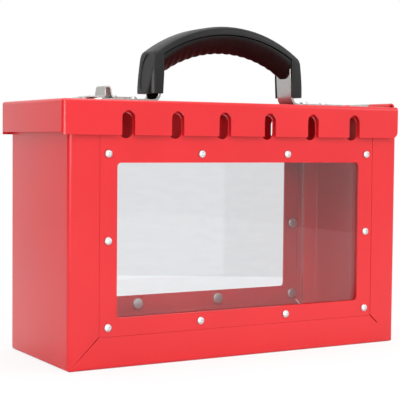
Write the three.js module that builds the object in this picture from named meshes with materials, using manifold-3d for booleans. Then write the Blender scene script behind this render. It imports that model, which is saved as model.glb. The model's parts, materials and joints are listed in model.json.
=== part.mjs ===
import * as THREE from 'three';
import { mergeVertices } from 'three/addons/utils/BufferGeometryUtils.js';
import Module from 'manifold-3d';

// Group lockout box: a red steel box with a clear pane in each long side, a lid hinged at one end,
// twelve padlock slots, a carrying handle and a slide latch. Millimetres, +Z up, front towards -Y.
// The origin is on the floor under the middle of the lid.

const wasm = await Module();
wasm.setup();

// Sizes shared by the whole box
const sheet = 1.2;      // steel sheet of body and lid
const seat = 0.3;       // air left between two pieces that lie on each other
const overrun = 3;      // how far a cutter runs past the face it opens
const arcSteps = 4;     // facets in a quarter bend
const domeSteps = 3;    // facets in a small quarter round
const archSteps = 18;   // facets in the arch of the handle
const holeSides = 10;   // facets round a rivet hole
const rivetSides = 12;  // facets round a rivet
const barrelSides = 20; // facets round the hinge barrel
const discSides = 112;  // facets round a full turn of the arch

const body = {
  width: 227.2,         // along X, over the two ends
  depth: 85,            // along Y, over the two faces
  rimDrop: 1.6,         // from the top of the lid down to the edge of the walls
  bendRadius: 2.4,
  flange: 18.8,         // inturned frame seen on each face, at the two ends
  lowFlange: 18,        // and along the bottom
  mitreGap: 0.4,        // open joint where two flanges meet
  mitreLand: 13,        // where that joint closes, short of the outer corner
  panelGap: 0.3,        // joint between the flanges and the panel that lies flush in them
};

const lid = {
  height: 150,          // top face above the floor
  skirt: 19.6,
  endSkirtTrim: 1.4,    // the end skirt is this much shorter
  sideFrom: 3.2,        // where a long skirt starts below the top, and past the latch end
  faceGap: 2.2,         // between skirt and body on the long faces
  endGap: 3.8,          // between skirt and body at the latch end
  hingeInset: 1.7,      // the skirts end this far from the hinge end of the body
  bendRadius: 2.2,
  skirtCorner: 4,       // rounded lower corner at the hinge end
};

const padlockSlot = {
  count: 6,             // on each long face
  margin: 35.35,        // from the end of the body to the first slot
  width: 8,
  bodyWidth: 8.4,
  rowShift: 0.6,        // the row stands this much nearer the latch end
  belowLidTop: 5.8,     // top of the slot in the skirt
  bodyDrop: 1.2,        // the body slot starts this much lower
  bodyFoot: 1.8,        // and shows this far below the skirt
};

const keySlot = {
  length: 42,
  width: 10,
  behindHandle: 24.5,   // from the middle of the handle
};

const rivet = {
  inset: 5.25,          // from the flange edge to the rivet line
  belowSlots: 8.5,      // from the slots down to the upper rivet line
  across: 4,            // in the upper and in the lower line
  shankRadius: 1.6,
  domeRadius: 2.3,
  domeRise: 1.3,
  headRadius: 3.4,
  headThickness: 1.1,
};

const pane = {
  thickness: 2.5,
  openingInset: 5.6,    // from the rivet line to the opening, sideways
  openingDrop: 5.1,     // and up and down
  openingCorner: 2.2,
  sideMargin: 9.7,      // past the rivet line, sideways
  endMargin: 7.6,       // past the rivet line, up and down
  cornerRadius: 3,
};

const hinge = {
  barrelRadius: 2.5,
  leafThickness: 1,
  knuckles: 4,
  knuckleGap: 0.4,
  endInset: 0.6,        // from the face of the body to the end of the barrel
  bodyLeaf: 17,         // height of the leaf inside the end wall
  lidLeaf: 17,          // width of the leaf under the lid
  leafInset: 4.2,       // from the face of the body to the end of the body leaf
  pinRadius: 1.2,
  pinClearance: 0.2,
  relief: 1.5,          // the rim stands this much lower under the hinge
  slotClearance: 0.6,   // from the barrel to the edge of the lid
};

const handle = {
  offset: 8.8,          // from the middle of the body, towards the hinge
  width: 19.6,          // along Y
  endMargin: 57.9,      // a centred handle would end this far from the ends of the body
  standOff: 5.6,        // from the lid to the lower end of a leg
  height: 48,           // from the lid to the top of the arch
  archRise: 17.35,      // from an upper corner of the arch to its top
  legSlope: 3.9,        // lean of the outside of a leg
  legLean: 0.6,         // lean of its inside, up to the soft grip
  legDepth: 9.1,
  grooveDrop: 5.1,      // from the top of the arch to the joint line
  gripDrop: 16.5,       // from the top of the arch to the underside of the grip
  gripRise: 15.9,       // from an end of the grip to the top of that underside
  channelHeight: 17.6,  // where the open channel in a leg ends, above the lid
  channelWall: 1.5,
  cornerRadius: 4,      // upright edges of the legs
  crownRadius: 3.2,     // long edges of the arch
  recessHeight: 23,     // oval hollow in the end of a leg
  recessWidth: 13,
  recessDepth: 0.5,
};

const grip = {
  width: 18.8,
  bellyRadius: 9.2,     // rounding of the underside
  ribCount: 15,
  ribPitch: 5.4,
  ribWidth: 2.6,
  ribRise: 0.8,
};

const strap = {
  width: 16,
  thickness: 1.8,
  hingeClearance: 5.5,  // from the end of a foot to the hinge barrel
  legInset: 1.6,        // from the inside of a leg to the middle of the strap, at the foot
  lean: 2,              // of the upright part
  bendRadius: 5.5,
  arcDrop: 6.5,         // from the top of the arch to the middle of the strap
  nearRivet: 30.4,      // from the end of a foot to the rivet beside the leg
  farRivet: 15.1,       // and to the outer rivet
};

const footRivet = {
  shankRadius: 1.9,
  headRadius: 2.8,
  headRise: 1.5,
  guideRise: 0.6,       // the rivet in the slot of the latch is flatter
  tailThickness: 1.2,
  tailRadius: 3.2,
};

const latch = {
  width: 14,
  thickness: 0.8,
  travel: 6,            // towards the latch end, to lock
  rampGap: 0.6,         // the strip has climbed this far before the end of the foot
  tabRise: 6.1,         // above the strip
  tabFromEnd: 9.3,      // from the end of the foot to the fold
  tabBase: 4.5,         // along X, at the foot of the fold
  tabCrown: 3.2,        // along X, at its top
  tabSkew: 0.5,         // lean of the face that is pushed
  tabTaper: 1.1,        // each side edge, from foot to top
  tabToRivet: 3.5,      // from the fold to the middle of the guide rivet
  endLand: 1.6,         // metal past the end of the slot
  legFromWall: 15.5,    // upright leg, from the inside of the end wall
  toe: 7.2,             // hook under the catch
  toeDepth: 10.3,       // from the lid top to the upper face of the hook
  bendRadius: 1.2,
  play: 0.6,            // round the leg in the slot of the lid
};

const catchLedge = {
  reach: 6.8,           // from the inside of the end wall
  rise: 6.4,            // upright part welded to the wall
  spare: 1,             // wider than the latch strip, each side
  lift: 0.7,            // above the hook
};

// Places that follow from the sizes
const middleX = body.width / 2;
const middleY = body.depth / 2;
const rimHeight = lid.height - body.rimDrop;
const skirtFoot = lid.height - lid.skirt;
const lidLeft = -lid.endGap - sheet;
const lidFront = -lid.faceGap - sheet;
const lidBack = body.depth + lid.faceGap + sheet;
const lidRight = body.width - lid.hingeInset;
const slotTop = lid.height - padlockSlot.belowLidTop;
const bodySlotTop = slotTop - padlockSlot.bodyDrop;
const bodySlotFoot = skirtFoot - padlockSlot.bodyFoot;
const rivetLeft = body.flange + rivet.inset;
const rivetRight = body.width - rivetLeft;
const rivetLow = body.lowFlange + rivet.inset;
const rivetHigh = bodySlotFoot - rivet.belowSlots;
const paneFace = sheet + seat;
const paneBack = paneFace + pane.thickness;
const hingeX = body.width - sheet - seat - hinge.barrelRadius;
const hingeZ = lid.height - sheet - seat - hinge.leafThickness + hinge.barrelRadius;
const hingeRim = hingeZ - hinge.barrelRadius - seat;
const handleX = middleX + handle.offset;
const footReach = middleX - handle.endMargin;
const topReach = footReach - handle.legSlope;
const legInside = footReach - handle.legDepth;
const gripReach = legInside - handle.legLean;
const archRadius = (topReach ** 2 + handle.archRise ** 2) / (2 * handle.archRise);
const gripRadius = (gripReach ** 2 + handle.gripRise ** 2) / (2 * handle.gripRise);
const strapReach = hingeX - hinge.barrelRadius - strap.hingeClearance - handleX;
const footEnd = handleX - strapReach;
const tabLeft = footEnd + latch.tabFromEnd;
const tabRight = tabLeft + latch.tabBase;
const guideX = tabRight + latch.tabToRivet;

function toManifold(geometry) {
  geometry.deleteAttribute('normal');
  geometry.deleteAttribute('uv');
  const merged = mergeVertices(geometry);
  return new wasm.Manifold(new wasm.Mesh({
    numProp: 3,
    vertProperties: new Float32Array(merged.attributes.position.array),
    triVerts: new Uint32Array(merged.index.array),
  }));
}

function toGeometry(manifold) {
  const mesh = manifold.getMesh();
  const geometry = new THREE.BufferGeometry();
  geometry.setAttribute('position', new THREE.BufferAttribute(new Float32Array(mesh.vertProperties), 3));
  geometry.setIndex(new THREE.BufferAttribute(new Uint32Array(mesh.triVerts), 1));
  geometry.computeVertexNormals();
  return geometry;
}

function named(name, manifold, material) {
  const mesh = new THREE.Mesh(toGeometry(manifold), material);
  mesh.name = name;
  return mesh;
}

function finish(color, roughness, metalness) {
  return new THREE.MeshStandardMaterial({ color, roughness, metalness });
}

function block(x0, y0, z0, x1, y1, z1) {
  const geometry = new THREE.BoxGeometry(x1 - x0, y1 - y0, z1 - z0);
  geometry.translate((x0 + x1) / 2, (y0 + y1) / 2, (z0 + z1) / 2);
  return toManifold(geometry);
}

// A shape drawn in X and Z, run along Y
function alongY(shape, y0, y1) {
  const geometry = new THREE.ExtrudeGeometry(shape, {
    depth: y1 - y0, bevelEnabled: false, curveSegments: arcSteps,
  });
  geometry.rotateX(Math.PI / 2);
  geometry.translate(0, y1, 0);
  return toManifold(geometry);
}

// A shape drawn in Y and Z, run along X
function alongX(shape, x0, x1) {
  const geometry = new THREE.ExtrudeGeometry(shape, {
    depth: x1 - x0, bevelEnabled: false, curveSegments: arcSteps,
  });
  const turn = new THREE.Matrix4().makeBasis(
    new THREE.Vector3(0, 1, 0), new THREE.Vector3(0, 0, 1), new THREE.Vector3(1, 0, 0));
  geometry.applyMatrix4(turn);
  geometry.translate(x0, 0, 0);
  return toManifold(geometry);
}

// A shape drawn in X and Y, run along Z
function alongZ(shape, z0, z1) {
  const geometry = new THREE.ExtrudeGeometry(shape, {
    depth: z1 - z0, bevelEnabled: false, curveSegments: arcSteps,
  });
  geometry.translate(0, 0, z0);
  return toManifold(geometry);
}

// A rectangle with its own radius at each corner, from the lower left one anticlockwise
function roundedRectangle(x0, y0, x1, y1, radii) {
  const [a, b, c, d] = radii;
  const shape = new THREE.Shape();
  shape.moveTo(x0 + a, y0);
  shape.lineTo(x1 - b, y0);
  if (b > 0) shape.absarc(x1 - b, y0 + b, b, -Math.PI / 2, 0, false);
  shape.lineTo(x1, y1 - c);
  if (c > 0) shape.absarc(x1 - c, y1 - c, c, 0, Math.PI / 2, false);
  shape.lineTo(x0 + d, y1);
  if (d > 0) shape.absarc(x0 + d, y1 - d, d, Math.PI / 2, Math.PI, false);
  shape.lineTo(x0, y0 + a);
  if (a > 0) shape.absarc(x0 + a, y0 + a, a, Math.PI, Math.PI * 1.5, false);
  return shape;
}

function evenCorners(x0, y0, x1, y1, radius) {
  return roundedRectangle(x0, y0, x1, y1, [radius, radius, radius, radius]);
}

// A round piece about the Y axis, from a closed profile of radius and height
function turnedY(profile, segments) {
  const points = profile.map(([radius, height]) => new THREE.Vector2(radius, height));
  return toManifold(new THREE.LatheGeometry(points, segments));
}

// A cylinder along Y
function rodY(radius, x, z, y0, y1, segments) {
  const geometry = new THREE.CylinderGeometry(radius, radius, y1 - y0, segments);
  geometry.translate(x, (y0 + y1) / 2, z);
  return toManifold(geometry);
}

// A cylinder along Z
function rodZ(radius, x, y, z0, z1, segments) {
  const geometry = new THREE.CylinderGeometry(radius, radius, z1 - z0, segments);
  geometry.rotateX(Math.PI / 2);
  geometry.translate(x, y, (z0 + z1) / 2);
  return toManifold(geometry);
}

// The outline of a bent strip: its middle line, with rounded bends, made as thick as the metal
function bentStrip(corners, radius, thickness) {
  const line = [corners[0]];
  for (let i = 1; i < corners.length - 1; i += 1) {
    const before = corners[i - 1].clone().sub(corners[i]);
    const after = corners[i + 1].clone().sub(corners[i]);
    const turn = Math.PI - Math.abs(before.angleTo(after));
    const reach = radius * Math.tan(turn / 2);
    const start = corners[i].clone().add(before.setLength(reach));
    const end = corners[i].clone().add(after.setLength(reach));
    const bend = new THREE.QuadraticBezierCurve(start, corners[i], end);
    line.push(...bend.getPoints(turn > 0.5 ? arcSteps : 2));
  }
  line.push(corners[corners.length - 1]);
  const side = line.map((point, i) => {
    const along = line[Math.min(i + 1, line.length - 1)].clone().sub(line[Math.max(i - 1, 0)]);
    return new THREE.Vector2(-along.y, along.x).setLength(thickness / 2);
  });
  const left = line.map((point, i) => point.clone().add(side[i]));
  const right = line.map((point, i) => point.clone().sub(side[i]));
  return new THREE.Shape([...left, ...right.reverse()]);
}

function point(x, z) {
  return new THREE.Vector2(x, z);
}

function slotCentre(index) {
  const pitch = (body.width - 2 * padlockSlot.margin) / (padlockSlot.count - 1);
  return padlockSlot.margin - padlockSlot.rowShift + index * pitch;
}

function rivetPlaces() {
  const places = [];
  for (let i = 0; i < rivet.across; i += 1) {
    const x = rivetLeft + (rivetRight - rivetLeft) * i / (rivet.across - 1);
    places.push([x, rivetLow], [x, rivetHigh]);
  }
  const half = (rivetLow + rivetHigh) / 2;
  places.push([rivetLeft, half], [rivetRight, half]);
  return places;
}

// The folded shape that body and pane corners share: round uprights and round lower edges
function tub(inset, foot, top) {
  const radius = body.bendRadius - inset;
  const x0 = inset;
  const x1 = body.width - inset;
  const y0 = inset;
  const y1 = body.depth - inset;
  const plan = alongZ(evenCorners(x0, y0, x1, y1, radius), foot, top);
  const side = alongX(roundedRectangle(y0, foot, y1, top, [radius, radius, 0, 0]), x0, x1);
  const face = alongY(roundedRectangle(x0, foot, x1, top, [radius, radius, 0, 0]), y0, y1);
  return plan.intersect(side).intersect(face);
}

// The rim stands lower at the hinge end, so that barrel and leaf lie over it
function hingeRelief() {
  const from = hingeX - hinge.barrelRadius - hinge.lidLeaf - hinge.relief;
  return block(from, -overrun, hingeRim, body.width + overrun, body.depth + overrun, lid.height);
}

function mitreCutter(mirrored) {
  const half = body.mitreGap / 2;
  const innerX = body.flange + overrun;
  const innerZ = body.lowFlange + overrun;
  const land = body.mitreLand;
  const flip = (x) => (mirrored ? body.width - x : x);
  return new THREE.Shape([
    point(flip(land - half), land + half), point(flip(land + half), land - half),
    point(flip(innerX + half), innerZ - half), point(flip(innerX - half), innerZ + half),
  ]);
}

function bodyCasing() {
  let casing = tub(0, 0, rimHeight);
  casing = casing.subtract(tub(sheet, sheet, rimHeight + overrun));
  const opening = block(body.flange, -overrun, body.lowFlange,
    body.width - body.flange, body.depth + overrun, rimHeight + overrun);
  casing = casing.subtract(opening).subtract(hingeRelief());
  for (const mirrored of [false, true]) {
    const cutter = mitreCutter(mirrored);
    casing = casing.subtract(alongY(cutter, -overrun, sheet + seat));
    casing = casing.subtract(alongY(cutter, body.depth - sheet - seat, body.depth + overrun));
  }
  return casing;
}

// Closed slots through which each shackle reaches inside
function bodySlots(y0, y1) {
  const half = padlockSlot.bodyWidth / 2;
  const cutters = [];
  for (let i = 0; i < padlockSlot.count; i += 1) {
    const x = slotCentre(i);
    cutters.push(alongY(evenCorners(x - half, bodySlotFoot, x + half, bodySlotTop, half), y0, y1));
  }
  return cutters;
}

function cutAll(manifold, cutters) {
  return cutters.reduce((rest, cutter) => rest.subtract(cutter), manifold);
}

function rivetHoles(y0, y1) {
  const radius = rivet.shankRadius + seat;
  return rivetPlaces().map(([x, z]) => rodY(radius, x, z, y0, y1, holeSides));
}

function openingShape() {
  return evenCorners(
    rivetLeft + pane.openingInset, rivetLow + pane.openingDrop,
    rivetRight - pane.openingInset, rivetHigh - pane.openingDrop, pane.openingCorner);
}

// The flat plate of one long face, flush between the flanges; y0 is its face towards the front
function facePanel(y0) {
  const y1 = y0 + sheet;
  const edge = body.flange + body.panelGap;
  const foot = body.lowFlange + body.panelGap;
  let plate = block(edge, y0, foot, body.width - edge, y1, rimHeight);
  plate = plate.subtract(alongY(openingShape(), y0 - overrun, y1 + overrun));
  plate = cutAll(plate, bodySlots(y0 - overrun, y1 + overrun));
  plate = cutAll(plate, rivetHoles(y0 - overrun, y1 + overrun));
  return plate.subtract(hingeRelief());
}

function clearPane(y0) {
  const y1 = y0 + pane.thickness;
  const outline = evenCorners(
    rivetLeft - pane.sideMargin, rivetLow - pane.endMargin,
    rivetRight + pane.sideMargin, rivetHigh + pane.endMargin, pane.cornerRadius);
  return cutAll(alongY(outline, y0, y1), rivetHoles(y0 - overrun, y1 + overrun));
}

// One rivet: a set dome outside, a broad flat head inside. The profile runs inwards from the panel
// face; facing is 1 on the front and -1 on the back
function faceRivet(facing, x, z) {
  const dome = [];
  for (let i = 0; i <= domeSteps; i += 1) {
    const angle = Math.PI / 2 * i / domeSteps;
    dome.push([rivet.domeRadius * Math.sin(angle), -seat - rivet.domeRise * Math.cos(angle)]);
  }
  const inner = paneBack + seat;
  const chamfer = rivet.headThickness / 2;
  const profile = [
    ...dome, [rivet.shankRadius, -seat], [rivet.shankRadius, inner], [rivet.headRadius, inner],
    [rivet.headRadius, inner + chamfer], [rivet.headRadius - chamfer, inner + rivet.headThickness],
    [0, inner + rivet.headThickness],
  ];
  const single = turnedY(profile, rivetSides);
  return facing > 0
    ? single.translate([x, 0, z])
    : single.rotate([0, 0, 180]).translate([x, body.depth, z]);
}

function hingeKnuckles(first, leafPart) {
  const span = body.depth - 2 * hinge.endInset;
  const length = (span - (hinge.knuckles - 1) * hinge.knuckleGap) / hinge.knuckles;
  let leaf = leafPart;
  for (let i = 0; i < hinge.knuckles; i += 1) {
    const y0 = hinge.endInset + i * (length + hinge.knuckleGap);
    if (i % 2 === first) {
      leaf = leaf.add(rodY(hinge.barrelRadius, hingeX, hingeZ, y0, y0 + length, barrelSides));
    } else {
      const gap = hinge.knuckleGap;
      const reach = hinge.barrelRadius + seat;
      leaf = leaf.subtract(block(hingeX - reach, y0 - gap, hingeZ - reach,
        hingeX + reach, y0 + length + gap, hingeZ + reach));
    }
  }
  const bore = hinge.pinRadius + hinge.pinClearance;
  return leaf.subtract(rodY(bore, hingeX, hingeZ, -overrun, body.depth + overrun, barrelSides));
}

function hingeBodyLeaf() {
  const x1 = hingeX + hinge.barrelRadius;
  const foot = hingeZ - hinge.bodyLeaf;
  const leaf = block(x1 - hinge.leafThickness, hinge.leafInset, foot,
    x1, body.depth - hinge.leafInset, hingeZ);
  return hingeKnuckles(0, leaf);
}

function hingeLidLeaf() {
  const z0 = hingeZ - hinge.barrelRadius;
  const leaf = block(hingeX - hinge.barrelRadius - hinge.lidLeaf, hinge.endInset, z0,
    hingeX, body.depth - hinge.endInset, z0 + hinge.leafThickness);
  return hingeKnuckles(1, leaf);
}

function hingePin() {
  return rodY(hinge.pinRadius, hingeX, hingeZ, hinge.endInset, body.depth - hinge.endInset, rivetSides);
}

function latchCatch() {
  const half = latch.width / 2 + catchLedge.spare;
  const x0 = sheet + seat;
  const z0 = lid.height - latch.toeDepth + catchLedge.lift;
  const ledge = block(x0, middleY - half, z0, sheet + catchLedge.reach, middleY + half, z0 + sheet);
  return ledge.add(block(x0, middleY - half, z0, x0 + sheet, middleY + half, z0 + catchLedge.rise));
}

// The folded lid, as a solid that is open towards the hinge end
function lidBlock(inset, foot, right) {
  const radius = lid.bendRadius - inset;
  const x0 = lidLeft + inset;
  const y0 = lidFront + inset;
  const y1 = lidBack - inset;
  const top = lid.height - inset;
  const plan = alongZ(roundedRectangle(x0, y0, right, y1, [radius, 0, 0, radius]), foot, top);
  const side = alongX(roundedRectangle(y0, foot, y1, top, [0, 0, radius, radius]), x0, right);
  const face = alongY(roundedRectangle(x0, foot, right, top, [0, 0, 0, radius]), y0, y1);
  return plan.intersect(side).intersect(face);
}

// Slots in both long skirts, open at the lower edge
function skirtSlots() {
  const half = padlockSlot.width / 2;
  const cutters = [];
  for (let i = 0; i < padlockSlot.count; i += 1) {
    const x = slotCentre(i);
    const outline = roundedRectangle(x - half, skirtFoot - overrun, x + half, slotTop,
      [0, 0, half, half]);
    cutters.push(alongY(outline, lidFront - overrun, lidBack + overrun));
  }
  return cutters;
}

function skirtCornerCutter() {
  const radius = lid.skirtCorner;
  const x = lidRight - radius;
  const shape = new THREE.Shape();
  shape.moveTo(x, skirtFoot - overrun);
  shape.lineTo(lidRight + overrun, skirtFoot - overrun);
  shape.lineTo(lidRight + overrun, skirtFoot + radius);
  shape.lineTo(lidRight, skirtFoot + radius);
  shape.absarc(x, skirtFoot + radius, radius, 0, -Math.PI / 2, true);
  return alongY(shape, lidFront - overrun, lidBack + overrun);
}

// The rivet nearest the latch end comes first
function footRivetXs() {
  const near = strapReach - strap.nearRivet;
  const far = strapReach - strap.farRivet;
  return [guideX, handleX - near, handleX + near, handleX + far];
}

function footRivetHoles(z0, z1) {
  const radius = footRivet.shankRadius + seat;
  return footRivetXs().map((x) => rodZ(radius, x, middleY, z0, z1, rivetSides));
}

function latchLegX() {
  return sheet + latch.legFromWall;
}

function lidShell() {
  let shell = lidBlock(0, skirtFoot, lidRight);
  shell = shell.subtract(lidBlock(sheet, skirtFoot - overrun, body.width + overrun));
  shell = cutAll(shell, skirtSlots()).subtract(skirtCornerCutter());
  const top0 = lid.height - sheet - overrun;
  const top1 = lid.height + overrun;
  const hingeEdge = hingeX - hinge.barrelRadius - hinge.slotClearance;
  shell = shell.subtract(block(hingeEdge, -hinge.slotClearance, top0,
    body.width + overrun, body.depth + hinge.slotClearance, top1));
  const trimFrom = lidFront + lid.bendRadius / 2;
  const trimTo = lidBack - lid.bendRadius / 2;
  shell = shell.subtract(block(lidLeft - overrun, trimFrom, skirtFoot - overrun,
    lidLeft + lid.bendRadius, trimTo, skirtFoot + lid.endSkirtTrim));
  shell = cutAll(shell, footRivetHoles(top0, top1));
  const halfLeg = (latch.thickness / 2) + latch.play;
  const halfWidth = latch.width / 2 + latch.play;
  const legX = latchLegX();
  shell = shell.subtract(block(legX - latch.travel - halfLeg, middleY - halfWidth, top0,
    legX + halfLeg + latch.bendRadius, middleY + halfWidth, top1));
  const keyY = middleY + keySlot.behindHandle;
  const halfKey = keySlot.width / 2;
  const key = evenCorners(handleX - keySlot.length / 2, keyY - halfKey,
    handleX + keySlot.length / 2, keyY + halfKey, halfKey);
  return shell.subtract(alongZ(key, top0, top1));
}

// The part of the lid that is one long skirt, clear of its bends
function skirtRegion(back, margin) {
  const y0 = back ? body.depth : lidFront - overrun;
  const y1 = back ? lidBack + overrun : 0;
  return block(lidLeft + lid.sideFrom - margin, y0, skirtFoot - overrun,
    body.width + overrun, y1, lid.height - lid.sideFrom + margin);
}

// Height of an arch with its top at crown, this far from the middle of the handle
function archHeight(crown, reach) {
  return crown - archRadius + Math.sqrt(archRadius ** 2 - reach ** 2);
}

// Points of that arch from one side to the other
function archPoints(crown, reach, steps) {
  const points = [];
  for (let i = 0; i <= steps; i += 1) {
    const x = -reach + 2 * reach * i / steps;
    points.push(point(x, archHeight(crown, x)));
  }
  return points;
}

// The carrying strap: a flat steel strip through the handle, with a foot at each end
function strapLine() {
  const crown = handle.height - strap.arcDrop;
  const flat = seat + strap.thickness / 2;
  const corner = legInside + strap.legInset;
  const arch = archPoints(crown, corner - strap.lean, archSteps);
  return [
    point(-strapReach, flat), point(-corner, flat), ...arch,
    point(corner, flat), point(strapReach, flat),
  ];
}

function strapRibbon(thickness, width) {
  const shape = bentStrip(strapLine(), strap.bendRadius, thickness);
  return alongY(shape, -width / 2, width / 2);
}

function handleStrap() {
  const half = strap.width / 2;
  const plan = alongZ(evenCorners(-strapReach, -half, strapReach, half, half), 0, handle.height);
  let ribbon = strapRibbon(strap.thickness, strap.width).intersect(plan);
  ribbon = ribbon.translate([handleX, middleY, lid.height]);
  return cutAll(ribbon, footRivetHoles(lid.height - overrun, lid.height + overrun + strap.thickness));
}

function shellOutline() {
  const foot = handle.standOff;
  const jointCrown = handle.height - handle.grooveDrop;
  return new THREE.Shape([
    point(-footReach, foot), point(-legInside, foot), point(-gripReach, handle.channelHeight),
    ...archPoints(jointCrown, gripReach, archSteps),
    point(gripReach, handle.channelHeight), point(legInside, foot), point(footReach, foot),
    ...archPoints(handle.height, topReach, archSteps).reverse(),
  ]);
}

// A disc about the arch's own centre whose rim rounds the long edges of the arch
function crownDisc() {
  const half = handle.width / 2;
  const radius = archRadius;
  const round = handle.crownRadius;
  const rim = [];
  for (let i = 0; i <= arcSteps; i += 1) {
    const angle = Math.PI / 2 * i / arcSteps;
    rim.push([radius - round + round * Math.cos(angle), half - round + round * Math.sin(angle)]);
  }
  const lower = rim.map(([r, h]) => [r, -h]);
  const profile = [[0, -half], ...lower.reverse(), ...rim, [0, half]];
  return turnedY(profile, discSides).translate([0, 0, handle.height - radius]);
}

function handleShell() {
  const half = handle.width / 2;
  let shell = alongY(shellOutline(), -half, half).intersect(crownDisc());
  const plan = evenCorners(-footReach, -half, footReach, half, handle.cornerRadius);
  shell = shell.intersect(alongZ(plan, 0, handle.height));
  shell = shell.subtract(strapRibbon(strap.thickness + 2 * seat, strap.width + 2 * seat));
  const wall = handle.channelWall;
  const corner = archHeight(handle.height, topReach);
  const lean = Math.atan(handle.legSlope / (corner - handle.standOff));
  for (const side of [-1, 1]) {
    const near = side * (legInside - overrun);
    const far = side * (topReach - handle.channelWall);
    shell = shell.subtract(block(Math.min(near, far), wall - half, 0,
      Math.max(near, far), half - wall, handle.channelHeight));
    const recess = new THREE.CylinderGeometry(1, 1, handle.recessDepth * 2, barrelSides);
    recess.rotateZ(Math.PI / 2);
    recess.scale(1, handle.recessWidth / 2, handle.recessHeight / 2);
    recess.rotateY(-side * lean);
    recess.translate(side * (footReach + topReach) / 2, 0, (handle.standOff + corner) / 2);
    shell = shell.subtract(toManifold(recess));
  }
  return shell.translate([handleX, middleY, lid.height]);
}

// A ring about the grip's own arc centre; its inner side is round like the belly of the grip
function bellyRing(inner) {
  const half = grip.width / 2;
  const round = grip.bellyRadius;
  const outer = gripRadius + handle.gripDrop;
  const belly = [];
  for (let i = 0; i <= domeSteps; i += 1) {
    const angle = Math.PI / 2 * i / domeSteps;
    belly.push([inner + round - round * Math.cos(angle), half - round + round * Math.sin(angle)]);
  }
  const lower = belly.map(([r, h]) => [r, -h]);
  const profile = [[outer, -half], [outer, half], ...belly.reverse(), ...lower, [outer, -half]];
  const centre = handle.height - handle.gripDrop - gripRadius;
  return turnedY(profile, discSides).translate([0, 0, centre]);
}

function gripSlice() {
  const reach = gripReach - seat;
  const jointCrown = handle.height - handle.grooveDrop - seat;
  const shape = new THREE.Shape([
    point(-reach, handle.channelHeight), point(reach, handle.channelHeight),
    ...archPoints(jointCrown, reach, archSteps).reverse(),
  ]);
  const half = grip.width / 2 + overrun;
  return alongY(shape, -half, half);
}

function handleGrip() {
  const slice = gripSlice();
  const radius = gripRadius;
  const centre = handle.height - handle.gripDrop - radius;
  const full = slice.intersect(bellyRing(radius));
  let soft = slice.intersect(bellyRing(radius + grip.ribRise));
  for (let i = 0; i < grip.ribCount; i += 1) {
    const along = (i - (grip.ribCount - 1) / 2) * grip.ribPitch;
    const rib = new THREE.BoxGeometry(grip.ribWidth, grip.width + overrun, handle.gripDrop);
    rib.translate(0, 0, radius);
    rib.rotateY(along / radius);
    rib.translate(0, 0, centre);
    soft = soft.add(full.intersect(toManifold(rib)));
  }
  soft = soft.subtract(strapRibbon(strap.thickness + 2 * seat, strap.width + 2 * seat));
  return soft.translate([handleX, middleY, lid.height]);
}

// A rivet through a foot of the strap; its head sits this high above the lid
function footRivetAt(x, headSeat, headRise) {
  const base = lid.height + headSeat;
  const under = lid.height - sheet - seat;
  const foot = under - footRivet.tailThickness;
  const cap = new THREE.SphereGeometry(footRivet.headRadius, rivetSides, 2 * domeSteps);
  cap.rotateX(Math.PI / 2);
  cap.scale(1, 1, headRise / footRivet.headRadius);
  cap.translate(x, middleY, base);
  const reach = footRivet.tailRadius;
  const keep = block(x - reach, middleY - reach, base, x + reach, middleY + reach, base + reach);
  const head = toManifold(cap).intersect(keep);
  const shank = rodZ(footRivet.shankRadius, x, middleY, foot, base + seat, rivetSides);
  const tail = rodZ(footRivet.tailRadius, x, middleY, foot, under, rivetSides);
  return head.add(shank).add(tail);
}

function stripSeat() {
  return seat + strap.thickness + seat;
}

// The latch: one bent strip with a hook, a ramp, a raised thumb tab and a fork round the rivets
function latchStrip() {
  const half = latch.thickness / 2;
  const low = lid.height + seat + half;
  const high = lid.height + stripSeat() + half;
  const slotHalf = footRivet.shankRadius + seat;
  const slotEnd = guideX + slotHalf + latch.travel;
  const crown = high + latch.tabRise;
  const crownRight = tabLeft + latch.tabSkew + latch.tabCrown;
  const legX = latchLegX();
  const toeZ = lid.height - latch.toeDepth - half;
  const line = [
    point(legX - latch.toe, toeZ), point(legX, toeZ), point(legX, low),
    point(legX + latch.bendRadius * 2, low), point(footEnd - latch.rampGap, high),
    point(tabLeft, high), point(tabLeft + latch.tabSkew, crown), point(crownRight, crown),
    point(tabRight, high), point(slotEnd + latch.endLand, high),
  ];
  const halfWidth = latch.width / 2;
  const ribbon = bentStrip(line, latch.bendRadius, latch.thickness);
  const strip = alongY(ribbon, middleY - halfWidth, middleY + halfWidth);
  const slot = evenCorners(guideX - slotHalf, middleY - slotHalf, slotEnd, middleY + slotHalf, slotHalf);
  return strip.subtract(alongZ(slot, lid.height, crown)).subtract(tabTaperCutters(high, crown));
}

// The sides of the thumb tab draw in towards its top
function tabTaperCutters(foot, crown) {
  const halfWidth = latch.width / 2;
  const slope = latch.tabTaper / (crown - foot);
  const top = crown + overrun;
  const drawIn = slope * (top - foot);
  const cutters = [-1, 1].map((side) => {
    const shape = new THREE.Shape([
      point(middleY + side * (halfWidth + overrun), foot), point(middleY + side * halfWidth, foot),
      point(middleY + side * (halfWidth - drawIn), top), point(middleY + side * (halfWidth + overrun), top),
    ]);
    return alongX(shape, 0, handleX);
  });
  return wasm.Manifold.union(cutters);
}

const redPaint = () => finish('#d8282c', 0.38, 0.15);
const clearAcrylic = () => finish('#dfe6e6', 0.08, 0);
const rivetSteel = () => finish('#c9cbcb', 0.3, 0.9);
const polishedSteel = () => finish('#b9b9b7', 0.22, 0.95);
const blackPlastic = () => finish('#2f3030', 0.45, 0);
const softRubber = () => finish('#242425', 0.7, 0);

const backPanelFace = body.depth - sheet;
const backPaneFace = body.depth - paneBack;

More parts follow.
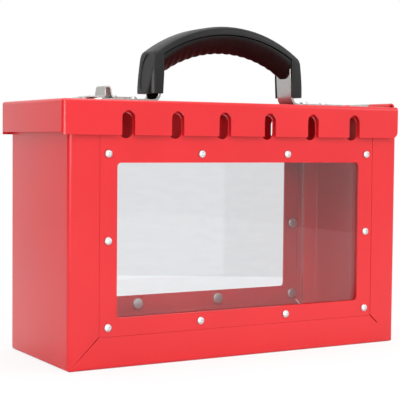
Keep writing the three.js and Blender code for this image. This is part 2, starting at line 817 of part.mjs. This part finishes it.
const box = new THREE.Group();
box.add(
  named('body_casing', bodyCasing(), redPaint()),
  named('front_panel', facePanel(0), redPaint()),
  named('back_panel', facePanel(backPanelFace), redPaint()),
  named('front_pane', clearPane(paneFace), clearAcrylic()),
  named('back_pane', clearPane(backPaneFace), clearAcrylic()),
  named('hinge_body_leaf', hingeBodyLeaf(), redPaint()),
  named('hinge_pin', hingePin(), polishedSteel()),
  named('latch_catch', latchCatch(), polishedSteel()),
);

rivetPlaces().forEach(([x, z], i) => {
  box.add(named(`front_rivet_${i + 1}`, faceRivet(1, x, z), rivetSteel()));
  box.add(named(`back_rivet_${i + 1}`, faceRivet(-1, x, z), rivetSteel()));
});

const wholeLid = lidShell();
const lidTop = wholeLid.subtract(skirtRegion(false, seat)).subtract(skirtRegion(true, seat));

const lidGroup = new THREE.Group();
lidGroup.add(
  named('lid_top', lidTop, redPaint()),
  named('lid_front_skirt', wholeLid.intersect(skirtRegion(false, 0)), redPaint()),
  named('lid_back_skirt', wholeLid.intersect(skirtRegion(true, 0)), redPaint()),
  named('hinge_lid_leaf', hingeLidLeaf(), polishedSteel()),
  named('handle_strap', handleStrap(), polishedSteel()),
  named('handle_shell', handleShell(), blackPlastic()),
  named('handle_grip', handleGrip(), softRubber()),
);
footRivetXs().forEach((x, i) => {
  const guide = i === 0;
  const head = stripSeat() + (guide ? latch.thickness + seat : 0);
  const rise = guide ? footRivet.guideRise : footRivet.headRise;
  const name = guide ? 'latch_guide_rivet' : `handle_rivet_${i}`;
  lidGroup.add(named(name, footRivetAt(x, head, rise), rivetSteel()));
});

const latchGroup = new THREE.Group();
latchGroup.add(named('latch_strip', latchStrip(), polishedSteel()));

const lockoutBox = new THREE.Group();
lockoutBox.add(box, lidGroup, latchGroup);
lockoutBox.position.set(-(body.width + lidLeft) / 2, -middleY, 0);

export default lockoutBox;
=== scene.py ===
import json
import math
import bpy
import bmesh
from mathutils import Matrix, Vector


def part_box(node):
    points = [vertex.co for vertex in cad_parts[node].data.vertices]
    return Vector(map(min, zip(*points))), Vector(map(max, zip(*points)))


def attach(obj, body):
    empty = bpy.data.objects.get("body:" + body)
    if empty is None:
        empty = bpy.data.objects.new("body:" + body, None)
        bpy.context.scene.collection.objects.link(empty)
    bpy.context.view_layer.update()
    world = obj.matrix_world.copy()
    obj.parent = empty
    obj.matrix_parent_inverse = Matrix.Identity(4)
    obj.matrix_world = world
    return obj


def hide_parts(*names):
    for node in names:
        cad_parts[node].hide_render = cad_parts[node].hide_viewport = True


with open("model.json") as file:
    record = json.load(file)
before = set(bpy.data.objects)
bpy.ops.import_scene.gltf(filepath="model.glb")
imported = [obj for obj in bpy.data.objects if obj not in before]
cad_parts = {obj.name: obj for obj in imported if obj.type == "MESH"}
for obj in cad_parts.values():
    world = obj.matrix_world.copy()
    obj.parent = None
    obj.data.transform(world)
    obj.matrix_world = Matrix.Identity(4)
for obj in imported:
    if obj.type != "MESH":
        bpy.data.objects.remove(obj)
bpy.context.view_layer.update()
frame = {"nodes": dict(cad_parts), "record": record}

# Group lockout box: red powder-coated steel, clear acrylic panes, black handle, bright hardware.
# Metres, front towards -Y, hinge towards +X, floor at z = 0. The sizes of pieces are given in mm.

mm = 0.001
cadNodes = frame["nodes"]
bodyOfNode = {node: body for body, group in frame["record"]["behaviour"]["bodies"].items()
              for node in group}
scene = bpy.context.scene

# Places nearer than these are taken as one, and so are neighbouring faces within the angle
near = 0.02 * mm
weldGap = 0.0005 * mm
seamGap = 0.001 * mm
flatAngle = math.radians(0.5)


# A hex colour as linear light, by the sRGB curve
def linearColour(hexText):
    values = [int(hexText[i:i + 2], 16) / 255 for i in (1, 3, 5)]
    return (*[v / 12.92 if v <= 0.04045 else ((v + 0.055) / 1.055) ** 2.4 for v in values], 1.0)


# Adds one node; each of its inputs is a plain value or the output of another node
def addNode(tree, kind, settings=None, inputs=None):
    node = tree.nodes.new(kind)
    for name, value in (settings or {}).items():
        setattr(node, name, value)
    for name, value in (inputs or {}).items():
        if isinstance(value, bpy.types.NodeSocket):
            tree.links.new(value, node.inputs[name])
        else:
            node.inputs[name].default_value = value
    return node


def blankMaterial(name):
    material = bpy.data.materials.new(name)
    material.use_nodes = True
    material.node_tree.nodes.clear()
    return material, material.node_tree


# Patches and grain are widths in mm on the piece, and a stretch above 1 makes them narrower
# that way. Depth, in mm, and strength are those of the grain's relief. The grain of the metals
# and the moulded skins is finer on the real box, and is drawn as coarse as it needs to show.
finishes = {
    # Polyester powder coat, sprayed and baked on folded steel: an even gloss red whose
    # highlights waver a little, from an orange peel about 1.6 mm across
    "gloss_powder_coat": {
        "colour": ("#d21d24", "#d82027"), "colourPatch": 60, "roughness": (0.25, 0.268),
        "roughPatch": 30, "grain": 1.6, "detail": 1.0, "stretch": (1, 1, 1), "depth": 0.005,
        "strength": 0.05, "shader": {"IOR": 1.5}},
    # Cast acrylic sheet with polished faces: clear, with faint wipe marks
    "clear_cast_acrylic": {
        "colour": ("#f5f6f8", "#f7f8f9"), "colourPatch": 14, "roughness": (0.0, 0.004),
        "roughPatch": 14, "grain": 14, "detail": 3.0, "stretch": (1, 1, 4), "depth": 0,
        "shader": {"IOR": 1.49, "Transmission Weight": 1.0}, "shadowTint": "#f4f6f6"},
    # Aluminium pressed in a die, the rivets: pale and satin
    "pressed_aluminium": {
        "colour": ("#c6c9c9", "#dadcdc"), "colourPatch": 1.2, "roughness": (0.38, 0.48),
        "roughPatch": 1.2, "grain": 1.2, "detail": 3.0, "stretch": (1, 1, 1), "depth": 0.01,
        "strength": 0.4, "shader": {"Metallic": 1.0}},
    # Polished stainless strip, the handle's strap: clear reflections, a little drawn along it
    "polished_stainless": {
        "colour": ("#a6a4a3", "#b8b6b4"), "colourPatch": 2.4, "roughness": (0.14, 0.22),
        "roughPatch": 2.4, "grain": 2.4, "detail": 3.0, "stretch": (1, 8, 1), "depth": 0.004,
        "strength": 0.4, "shader": {"Metallic": 1.0}},
    # Brushed stainless sheet, the latch, its catch and the bare hinge parts: a soft grey sheen
    "brushed_stainless": {
        "colour": ("#a5a29f", "#cac7c4"), "colourPatch": 0.9, "roughness": (0.28, 0.42),
        "roughPatch": 0.9, "grain": 0.9, "detail": 3.0, "stretch": (1, 3, 1), "depth": 0.02,
        "strength": 0.4, "shader": {"Metallic": 1.0}},
    # Nylon moulded in an etched tool, the handle's shell: black with a broad soft highlight
    "moulded_nylon": {
        "colour": ("#0c0d0d", "#121313"), "colourPatch": 12, "roughness": (0.34, 0.44),
        "roughPatch": 0.9, "grain": 0.9, "detail": 2.0, "stretch": (1, 1, 1), "depth": 0.02,
        "strength": 0.5, "shader": {"IOR": 1.5, "Specular IOR Level": 0.29}},
    # Thermoplastic rubber, the grip: a softer and duller black
    "soft_grip_rubber": {
        "colour": ("#0b0909", "#110f0f"), "colourPatch": 12, "roughness": (0.34, 0.44),
        "roughPatch": 1.3, "grain": 1.3, "detail": 2.0, "stretch": (1, 1, 1), "depth": 0.015,
        "strength": 0.5, "shader": {"IOR": 1.5, "Specular IOR Level": 0.2}},
}
noiseReach = {"From Min": 0.3, "From Max": 0.7}  # most of a noise's values lie between these
smooth = {"interpolation_type": "SMOOTHSTEP"}


# A finish: colour and roughness drift in soft patches, over the relief of the grain
def makeFinish(name):
    look = finishes[name]
    material, tree = blankMaterial(name)
    place = addNode(tree, "ShaderNodeTexCoord").outputs["Object"]
    place = addNode(tree, "ShaderNodeMapping",
                    inputs={"Vector": place, "Scale": look["stretch"]}).outputs["Vector"]
    noise = {width: addNode(tree, "ShaderNodeTexNoise",
                            inputs={"Vector": place, "Scale": 1 / (width * mm),
                                    "Detail": look["detail"]}).outputs["Fac"]
             for width in {look["colourPatch"], look["roughPatch"], look["grain"]}}
    tone = addNode(tree, "ShaderNodeMapRange", smooth,
                   {"Value": noise[look["colourPatch"]], **noiseReach})
    dark, light = [linearColour(shade) for shade in look["colour"]]
    colour = addNode(tree, "ShaderNodeMix", {"data_type": "RGBA"},
                     {0: tone.outputs["Result"], 6: dark, 7: light})  # 6 and 7 take colours
    roughness = addNode(tree, "ShaderNodeMapRange", smooth,
                        {"Value": noise[look["roughPatch"]], **noiseReach,
                         "To Min": look["roughness"][0], "To Max": look["roughness"][1]})
    shader = addNode(tree, "ShaderNodeBsdfPrincipled",
                     inputs={**look["shader"], "Base Color": colour.outputs[2],
                             "Roughness": roughness.outputs["Result"]})
    if look["depth"]:
        bump = addNode(tree, "ShaderNodeBump",
                       inputs={"Height": noise[look["grain"]], "Strength": look["strength"],
                               "Distance": look["depth"] * mm})
        tree.links.new(bump.outputs["Normal"], shader.inputs["Normal"])
    surface = shader.outputs["BSDF"]
    if "shadowTint" in look:  # lamps reach through a clear sheet
        ray = addNode(tree, "ShaderNodeLightPath")
        clear = addNode(tree, "ShaderNodeBsdfTransparent",
                        inputs={"Color": linearColour(look["shadowTint"])})
        surface = addNode(tree, "ShaderNodeMixShader",
                          inputs={0: ray.outputs["Is Shadow Ray"], 1: surface,
                                  2: clear.outputs["BSDF"]}).outputs["Shader"]
    addNode(tree, "ShaderNodeOutputMaterial", inputs={"Surface": surface})
    return material


materials = {name: makeFinish(name) for name in finishes}
print("materials made")


# Turns a mesh into a piece of the model, on the body of the nodes that it replaces
def finishPiece(mesh, finish, replaced, name=None, smoothAngle=40):
    name = name or replaced[0].replace("_", "-")
    body = bodyOfNode[replaced[0]]
    data = bpy.data.meshes.new(name)
    mesh.to_mesh(data)
    mesh.free()
    data.materials.append(materials[finish])
    data.polygons.foreach_set("use_smooth", [True] * len(data.polygons))
    data.set_sharp_from_angle(angle=math.radians(smoothAngle))
    piece = bpy.data.objects.new(name, data)
    scene.collection.objects.link(piece)
    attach(piece, body)
    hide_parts(*replaced)
    return piece


# Merges the loose triangles of a solid into plain faces
def mergeFlats(mesh):
    bmesh.ops.remove_doubles(mesh, verts=mesh.verts, dist=weldGap)
    bmesh.ops.dissolve_limit(mesh, angle_limit=flatAngle, verts=mesh.verts, edges=mesh.edges)
    bmesh.ops.recalc_face_normals(mesh, faces=mesh.faces)


# Edges are eased, as sheet metal is after the press and the paint
edgeEase = {"segments": 2, "sharperThan": 32}


def easeEdges(piece, ease):
    bevel = piece.modifiers.new("ease", "BEVEL")
    bevel.width = ease * mm
    bevel.segments = edgeEase["segments"]
    bevel.limit_method = "ANGLE"
    bevel.angle_limit = math.radians(edgeEase["sharperThan"])
    bevel.harden_normals = True


# Paint bridges most of the joint round a panel: only a shallow line shows, and it is widest
# at the hinge end. Each fill is how far that side of the panel grows into the joint.
panelJoint = {"nodes": ["front_panel", "back_panel"], "latchFill": 0.17, "hingeFill": -0.05,
              "lowFill": 0.22}


def fillJoint(mesh, nodeName):
    low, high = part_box(nodeName)
    for v in mesh.verts:
        if v.co.x < low.x + near:
            v.co.x -= panelJoint["latchFill"] * mm
        elif v.co.x > high.x - near:
            v.co.x += panelJoint["hingeFill"] * mm
        if v.co.z < low.z + near:
            v.co.z -= panelJoint["lowFill"] * mm


# The solid's mitre at the latch end stops at cadLand from the corner, so that the casing stays
# one piece. It runs on here, ever thinner, to the smaller land that the photograph shows.
mitreShape = {"node": "body_casing", "cadLand": 13.0, "land": 3.0, "gap": 0.14, "reach": 0.4}


def runMitreOn(mesh):
    low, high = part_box(mitreShape["node"])
    for v in mesh.verts:
        across, up = (v.co.x - low.x) / mm, (v.co.z - low.z) / mm
        away = max(abs(across - mitreShape["cadLand"]), abs(up - mitreShape["cadLand"]))
        if away < mitreShape["reach"]:
            side = math.copysign(mitreShape["gap"] / 2, across - up)
            v.co.x = low.x + (mitreShape["land"] + side) * mm
            v.co.z = low.z + (mitreShape["land"] - side) * mm


# The ends of the hinge pin lie a little inside the outer knuckles
pinShape = {"node": "hinge_pin", "recess": 3.0}


def recessPin(mesh):
    low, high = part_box(pinShape["node"])
    middle = (low.y + high.y) / 2
    for v in mesh.verts:
        v.co.y -= math.copysign(pinShape["recess"] * mm, v.co.y - middle)


# Pieces that keep their solid's shape, but for the small changes above: finish, slot, and how
# far the edges are eased
easedPieces = {
    "body_casing": ("gloss_powder_coat", "red_steel", 0.35),
    "front_panel": ("gloss_powder_coat", "red_steel", 0.12),
    "back_panel": ("gloss_powder_coat", "red_steel", 0.12),
    "hinge_body_leaf": ("gloss_powder_coat", "red_steel", 0.15),
    "hinge_lid_leaf": ("brushed_stainless", "bare_steel", 0.15),
    "hinge_pin": ("brushed_stainless", "bare_steel", 0.2),
    "latch_catch": ("brushed_stainless", "bare_steel", 0.15),
    "latch_strip": ("brushed_stainless", "bare_steel", 0.18),
    "handle_strap": ("polished_stainless", "bare_steel", 0.3),
    "handle_shell": ("moulded_nylon", "handle_plastic", 0.4),
    "front_pane": ("clear_cast_acrylic", "clear_acrylic", 0.25),
    "back_pane": ("clear_cast_acrylic", "clear_acrylic", 0.25),
}


def easedCopy(nodeName, finish, slotName, ease):
    mesh = bmesh.new()
    mesh.from_mesh(cadNodes[nodeName].data)
    mergeFlats(mesh)
    if nodeName in panelJoint["nodes"]:
        fillJoint(mesh, nodeName)
    elif nodeName == mitreShape["node"]:
        runMitreOn(mesh)
    elif nodeName == pinShape["node"]:
        recessPin(mesh)
    easeEdges(finishPiece(mesh, finish, [nodeName]), ease)


for nodeName, settings in easedPieces.items():
    easedCopy(nodeName, *settings)
print("plain pieces eased")

# The lid is one folded sheet: its two long skirts run on from the bends without a seam
lidShape = {"top": "lid_top", "skirts": ["lid_front_skirt", "lid_back_skirt"], "ease": 0.35}


# The skirts stop short of the top and of the left end wall. The faces on both sides of these
# gaps go, and their rims are brought together.
def buildLid():
    mesh = bmesh.new()
    for nodeName in [lidShape["top"], *lidShape["skirts"]]:
        mesh.from_mesh(cadNodes[nodeName].data)
    mergeFlats(mesh)
    low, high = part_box(lidShape["skirts"][0])
    topZ = min(v.co.z for v in mesh.verts if v.co.z > high.z + near)
    leftX = max(v.co.x for v in mesh.verts
                if v.co.x < low.x - near and abs(v.co.z - low.z) < near)

    def facesGap(face, axis, *places):
        values = [v.co[axis] for v in face.verts]
        flat = max(values) - min(values) < near
        return flat and min(abs(values[0] - place) for place in places) < near

    gapFaces = [face for face in mesh.faces
                if facesGap(face, 2, high.z, topZ) or facesGap(face, 0, low.x, leftX)]
    bmesh.ops.delete(mesh, geom=gapFaces, context="FACES")
    for v in mesh.verts:
        if abs(v.co.z - high.z) < near:
            v.co.z = topZ
        if abs(v.co.x - low.x) < near:
            v.co.x = leftX
    mergeFlats(mesh)
    piece = finishPiece(mesh, "gloss_powder_coat",
                        [lidShape["top"], *lidShape["skirts"]], "lid-shell")
    easeEdges(piece, lidShape["ease"])


buildLid()
print("lid joined")


# The angles of a quarter turn, in equal steps
def quarterTurn(steps):
    return [math.pi / 2 * i / steps for i in range(steps + 1)]


# Spins a profile round its axis into a closed rivet
def spinRivet(nodeName, profile, centre, axis, shape):
    mesh = bmesh.new()
    verts = [mesh.verts.new(p) for p in profile]
    edges = [mesh.edges.new(pair) for pair in zip(verts, verts[1:])]
    bmesh.ops.spin(mesh, geom=verts + edges, cent=centre, axis=axis, angle=math.tau,
                   steps=shape["sides"], use_merge=True)
    bmesh.ops.remove_doubles(mesh, verts=mesh.verts, dist=seamGap)
    bmesh.ops.recalc_face_normals(mesh, faces=mesh.faces)
    finishPiece(mesh, "pressed_aluminium", [nodeName],
                smoothAngle=shape["smoothAngle"])


# Panel rivets: set dome outside with the dimple of its broken stem, flat round head inside
rivetShape = {"domeRise": 1.3, "domeRadius": 2.3, "domeFrom": 20, "domeSteps": 6,
              "dimple": 0.85, "dimpleDepth": 0.9, "dimpleFlare": 0.15, "dimpleRim": 0.12,
              "shankRadius": 1.6, "headRadius": 3.4, "headThickness": 1.1, "headEdge": 0.1,
              "headRound": 0.45, "headCrown": 0.12, "headSteps": 4,
              "sides": 28, "smoothAngle": 35}


# Points from the dimple to the middle of the inner head, as radius and depth below the dome
def rivetProfile(length):
    shape = rivetShape
    head = length - shape["headThickness"]
    points = [(0, shape["dimpleDepth"]), (shape["dimple"], shape["dimpleDepth"]),
              (shape["dimple"] + shape["dimpleFlare"], shape["dimpleRim"])]
    for i in range(1, shape["domeSteps"] + 1):
        turn = (90 - shape["domeFrom"]) * i / shape["domeSteps"]
        angle = math.radians(shape["domeFrom"] + turn)
        points.append((shape["domeRadius"] * math.sin(angle),
                       shape["domeRise"] * (1 - math.cos(angle))))
    points += [(shape["shankRadius"], shape["domeRise"]), (shape["shankRadius"], head),
               (shape["headRadius"] - shape["headEdge"], head)]
    crownStart = length - shape["headRound"] - shape["headCrown"]
    for angle in quarterTurn(shape["headSteps"]):
        points.append((shape["headRadius"] - shape["headRound"] * (1 - math.cos(angle)),
                       crownStart + shape["headRound"] * math.sin(angle)))
    return points + [(0, length)]


def panelRivet(nodeName, outward):
    low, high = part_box(nodeName)
    centre = (low + high) / 2
    start = low.y if outward < 0 else high.y
    length = (high.y - low.y) / mm
    profile = [Vector((centre.x + radius * mm, start - outward * depth * mm, centre.z))
               for radius, depth in rivetProfile(length)]
    spinRivet(nodeName, profile, (centre.x, 0, centre.z), (0, 1, 0), rivetShape)


# Rivets of the strap's feet: a low button head above, a clinched tail under the lid
footShape = {"headRadius": 2.8, "headRise": 1.5, "guideRise": 0.6, "headSteps": 8,
             "shankRadius": 1.9, "tailRadius": 3.2, "tail": 1.2, "tailRound": 0.35,
             "sides": 28, "smoothAngle": 35}


def footRivet(nodeName):
    shape = footShape
    low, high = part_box(nodeName)
    centre = (low + high) / 2
    length = (high.z - low.z) / mm
    rise = shape["guideRise"] if "guide" in nodeName else shape["headRise"]
    tailTop = length - shape["tail"]
    points = [(0, 0)]
    for angle in quarterTurn(shape["headSteps"])[1:]:
        points.append((shape["headRadius"] * math.sin(angle), rise * (1 - math.cos(angle))))
    points += [(shape["shankRadius"], rise), (shape["shankRadius"], tailTop),
               (shape["tailRadius"], tailTop),
               (shape["tailRadius"], length - shape["tailRound"]),
               (shape["tailRadius"] - shape["tailRound"], length), (0, length)]
    profile = [Vector((centre.x + radius * mm, centre.y, high.z - depth * mm))
               for radius, depth in points]
    spinRivet(nodeName, profile, (centre.x, centre.y, 0), (0, 0, 1), footShape)


for nodeName in cadNodes:
    if nodeName.startswith("front_rivet"):
        panelRivet(nodeName, -1)
    elif nodeName.startswith("back_rivet"):
        panelRivet(nodeName, 1)
    elif "rivet" in nodeName:
        footRivet(nodeName)
print("rivets spun")

# The soft grip: a D section swept under the arch, with finger ribs across its belly
gripShape = {"halfLength": 45.7, "halfWidth": 9.4, "archRadius": 74.5, "underside": 181.5,
             "flatEnd": 167.6, "jointRadius": 86.0, "jointTop": 192.8, "centreX": 11.3,
             "belly": 10.6, "fullness": 1.28, "bellySteps": 14, "topRound": 1.0, "topSteps": 3,
             "ribPitch": 5.4, "ribDepth": 0.42, "ribSharpness": 0.6, "ribFade": 2,
             "step": 0.9, "endRound": 0.4, "endSegments": 2, "smoothAngle": 50}


def arcDrop(radius, x):
    return radius - math.sqrt(radius ** 2 - x * x)


# Finger ribs: round ridges with narrow grooves between them, fading up the sides
def ribRise(x, height):
    shape = gripShape
    along = shape["archRadius"] * math.asin(x / shape["archRadius"])
    wave = 0.5 - 0.5 * math.cos(math.tau * along / shape["ribPitch"])
    share = min(1.0, shape["ribFade"] * max(0.0, 1 - height / shape["belly"]))
    return shape["ribDepth"] * (1 - wave ** shape["ribSharpness"]) * share


# One cross-section of the grip at x: round belly below, flat against the shell above
def gripSection(x):
    shape = gripShape
    low = shape["underside"] - arcDrop(shape["archRadius"], x)
    high = shape["jointTop"] - arcDrop(shape["jointRadius"], x)
    power = 2 / shape["fullness"]
    points = []
    for angle in quarterTurn(shape["bellySteps"]):
        height = shape["belly"] * (1 - math.cos(angle) ** power)
        reach = shape["halfWidth"] * math.sin(angle) ** power
        points.append((reach, low + height + ribRise(x, height)))
    for angle in quarterTurn(shape["topSteps"]):
        points.append((shape["halfWidth"] - shape["topRound"] * (1 - math.cos(angle)),
                       high - shape["topRound"] * (1 - math.sin(angle))))
    points = [(y, max(z, shape["flatEnd"])) for y, z in points]
    return points + [(-y, z) for y, z in reversed(points)]


def buildGrip():
    shape = gripShape
    mesh = bmesh.new()
    steps = round(2 * shape["halfLength"] / shape["step"])
    rings = []
    for i in range(steps + 1):
        x = -shape["halfLength"] + 2 * shape["halfLength"] * i / steps
        verts = [mesh.verts.new(((shape["centreX"] + x) * mm, y * mm, z * mm))
                 for y, z in gripSection(x)]
        rings.append([mesh.edges.new(pair) for pair in zip(verts, verts[1:] + verts[:1])])
    for before, here in zip(rings, rings[1:]):
        bmesh.ops.bridge_loops(mesh, edges=before + here)
    ends = bmesh.ops.edgeloop_fill(mesh, edges=rings[0] + rings[-1])["faces"]
    bmesh.ops.recalc_face_normals(mesh, faces=mesh.faces)
    rims = [edge for face in ends for edge in face.edges]
    bmesh.ops.bevel(mesh, geom=rims, offset=shape["endRound"] * mm, offset_type="OFFSET",
                    affect="EDGES", segments=shape["endSegments"], profile=0.5, material=-1,
                    clamp_overlap=True)
    bmesh.ops.remove_doubles(mesh, verts=mesh.verts, dist=seamGap)
    bmesh.ops.recalc_face_normals(mesh, faces=mesh.faces)
    finishPiece(mesh, "soft_grip_rubber", ["handle_grip"],
                smoothAngle=shape["smoothAngle"])


buildGrip()
print("grip swept")

# Camera fitted to the photograph: just below the lid's height, looking slightly down. The
# place and lens are in mm, the turns in degrees and the clip distances in metres.
view = {"place": (-368.37, -626.77, 127.4), "yaw": 30.194, "pitch": 2.875, "roll": 0.542,
        "lens": 105.4, "sensor": 36.0, "clip": (0.05, 50.0)}


def addCamera():
    data = bpy.data.cameras.new("camera")
    data.lens = view["lens"]
    data.sensor_width = view["sensor"]
    data.clip_start, data.clip_end = view["clip"]
    camera = bpy.data.objects.new("camera", data)
    scene.collection.objects.link(camera)
    yaw, pitch, roll = (math.radians(view[name]) for name in ("yaw", "pitch", "roll"))
    forward = Vector((math.sin(yaw), math.cos(yaw), 0))
    right = Vector((math.cos(yaw), -math.sin(yaw), 0))
    up = Vector((0, 0, 1))
    forward, up = (math.cos(pitch) * forward - math.sin(pitch) * up,
                   math.sin(pitch) * forward + math.cos(pitch) * up)
    right, up = (math.cos(roll) * right + math.sin(roll) * up,
                 -math.sin(roll) * right + math.cos(roll) * up)
    turn = Matrix((right, up, -forward)).transposed().to_4x4()
    camera.matrix_world = Matrix.Translation(Vector(view["place"]) * mm) @ turn
    scene.camera = camera


addCamera()

# The studio: a white table under broad soft lamps. Places and sizes in metres.
studio = {"floor": ((-1.1, -1.2), (0.65, -1.2), (0.65, 0.057), (-1.1, 1.076)),
          "floorShade": "#f4f4f4", "floorGlow": 0.8,
          "worldLight": 0.55, "worldGloss": 0.95, "worldThrough": 0.85}
lamps = {
    "key": {"place": (-0.9, -1.5, 1.3), "aim": (0, 0, 0.08), "size": (1.2, 1.0), "watts": 16},
    "low": {"place": (-0.4, -1.75, 0.3), "aim": (0, 0, 0.08), "size": (0.7, 0.4), "watts": 5},
    "fill": {"place": (1.3, -1.1, 0.8), "aim": (0, 0, 0.08), "size": (0.9, 0.9), "watts": 6},
    "top": {"place": (0, 0.1, 1.5), "aim": (0, 0, 0.1), "size": (1.2, 1.2), "watts": 12},
}
# Cards that only gloss shows, with their direction round the box, half width and soft edge in
# degrees: a dark one and a bright one for the bends, and a dimmer one for the front
cards = [
    {"turn": 176, "half": 32, "soft": 6, "level": 0.05},
    {"turn": 302, "half": 30, "soft": 12, "level": 0.88},
    {"turn": 244, "half": 20, "soft": 6, "level": 7.0},
]


# To the camera and through the panes the floor is mostly plain white, and the rest of it
# keeps the shadow
def addFloor():
    mesh = bmesh.new()
    mesh.faces.new([mesh.verts.new((x, y, 0)) for x, y in studio["floor"]])
    data = bpy.data.meshes.new("floor")
    mesh.to_mesh(data)
    mesh.free()
    floor = bpy.data.objects.new("floor", data)
    scene.collection.objects.link(floor)
    material, tree = blankMaterial("white_table")
    ray = addNode(tree, "ShaderNodeLightPath")
    pale = addNode(tree, "ShaderNodeBsdfDiffuse",
                   inputs={"Color": linearColour(studio["floorShade"])})
    white = addNode(tree, "ShaderNodeEmission", inputs={"Strength": 1.0})
    seen = addNode(tree, "ShaderNodeMath", {"operation": "MAXIMUM"},
                   {0: ray.outputs["Is Camera Ray"], 1: ray.outputs["Is Transmission Ray"]})
    glow = addNode(tree, "ShaderNodeMath", {"operation": "MULTIPLY"},
                   {0: seen.outputs[0], 1: studio["floorGlow"]})
    mix = addNode(tree, "ShaderNodeMixShader",
                  inputs={0: glow.outputs[0], 1: pale.outputs[0], 2: white.outputs[0]})
    addNode(tree, "ShaderNodeOutputMaterial", inputs={"Surface": mix.outputs["Shader"]})
    data.materials.append(material)


def addLamp(name, place, aim, size, watts):
    data = bpy.data.lights.new(name, "AREA")
    data.shape = "RECTANGLE"
    data.size, data.size_y = size
    data.energy = watts
    lamp = bpy.data.objects.new(name, data)
    scene.collection.objects.link(lamp)
    lamp.location = place
    lamp.rotation_euler = (Vector(aim) - Vector(place)).to_track_quat("-Z", "Y").to_euler()


# Level of the surroundings in gloss: even, but for the cards
def cardLevel(tree):
    way = addNode(tree, "ShaderNodeTexCoord").outputs["Generated"]
    level = studio["worldGloss"]
    for card in cards:
        turn = math.radians(card["turn"])
        dot = addNode(tree, "ShaderNodeVectorMath", {"operation": "DOT_PRODUCT"},
                      {0: way, 1: (math.cos(turn), math.sin(turn), 0)})
        rim, inner = [math.cos(math.radians(card["half"] + side * card["soft"]))
                      for side in (1, -1)]
        mask = addNode(tree, "ShaderNodeMapRange",
                       inputs={"Value": dot.outputs["Value"], "From Min": rim, "From Max": inner})
        mix = addNode(tree, "ShaderNodeMix", {"data_type": "FLOAT"},
                      {0: mask.outputs["Result"], 2: level, 3: card["level"]})
        level = mix.outputs[0]
    return level


# White to the camera and a little less through the panes, the cards in gloss, and otherwise
# an even level
def addWorld():
    world = bpy.data.worlds.new("studio")
    world.use_nodes = True
    tree = world.node_tree
    tree.nodes.clear()
    ray = addNode(tree, "ShaderNodeLightPath")
    through = addNode(tree, "ShaderNodeMath", {"operation": "MULTIPLY"},
                      {0: ray.outputs["Is Transmission Ray"], 1: studio["worldThrough"]})
    seen = addNode(tree, "ShaderNodeMath", {"operation": "MAXIMUM"},
                   {0: ray.outputs["Is Camera Ray"], 1: through.outputs[0]})
    plain = addNode(tree, "ShaderNodeMath", {"operation": "MAXIMUM"},
                    {0: ray.outputs["Is Camera Ray"], 1: ray.outputs["Is Transmission Ray"]})
    soft = addNode(tree, "ShaderNodeMix", {"data_type": "FLOAT"},
                   {0: ray.outputs["Is Glossy Ray"], 2: studio["worldLight"], 3: cardLevel(tree)})
    level = addNode(tree, "ShaderNodeMix", {"data_type": "FLOAT"},
                    {0: plain.outputs[0], 2: soft.outputs[0], 3: seen.outputs[0]})
    sky = addNode(tree, "ShaderNodeBackground",
                  inputs={"Color": linearColour("#ffffff"), "Strength": level.outputs[0]})
    addNode(tree, "ShaderNodeOutputWorld", inputs={"Surface": sky.outputs[0]})
    scene.world = world


addFloor()
addWorld()
for name, lamp in lamps.items():
    addLamp(name, **lamp)
scene.view_settings.view_transform = "Standard"
print("camera and studio set")
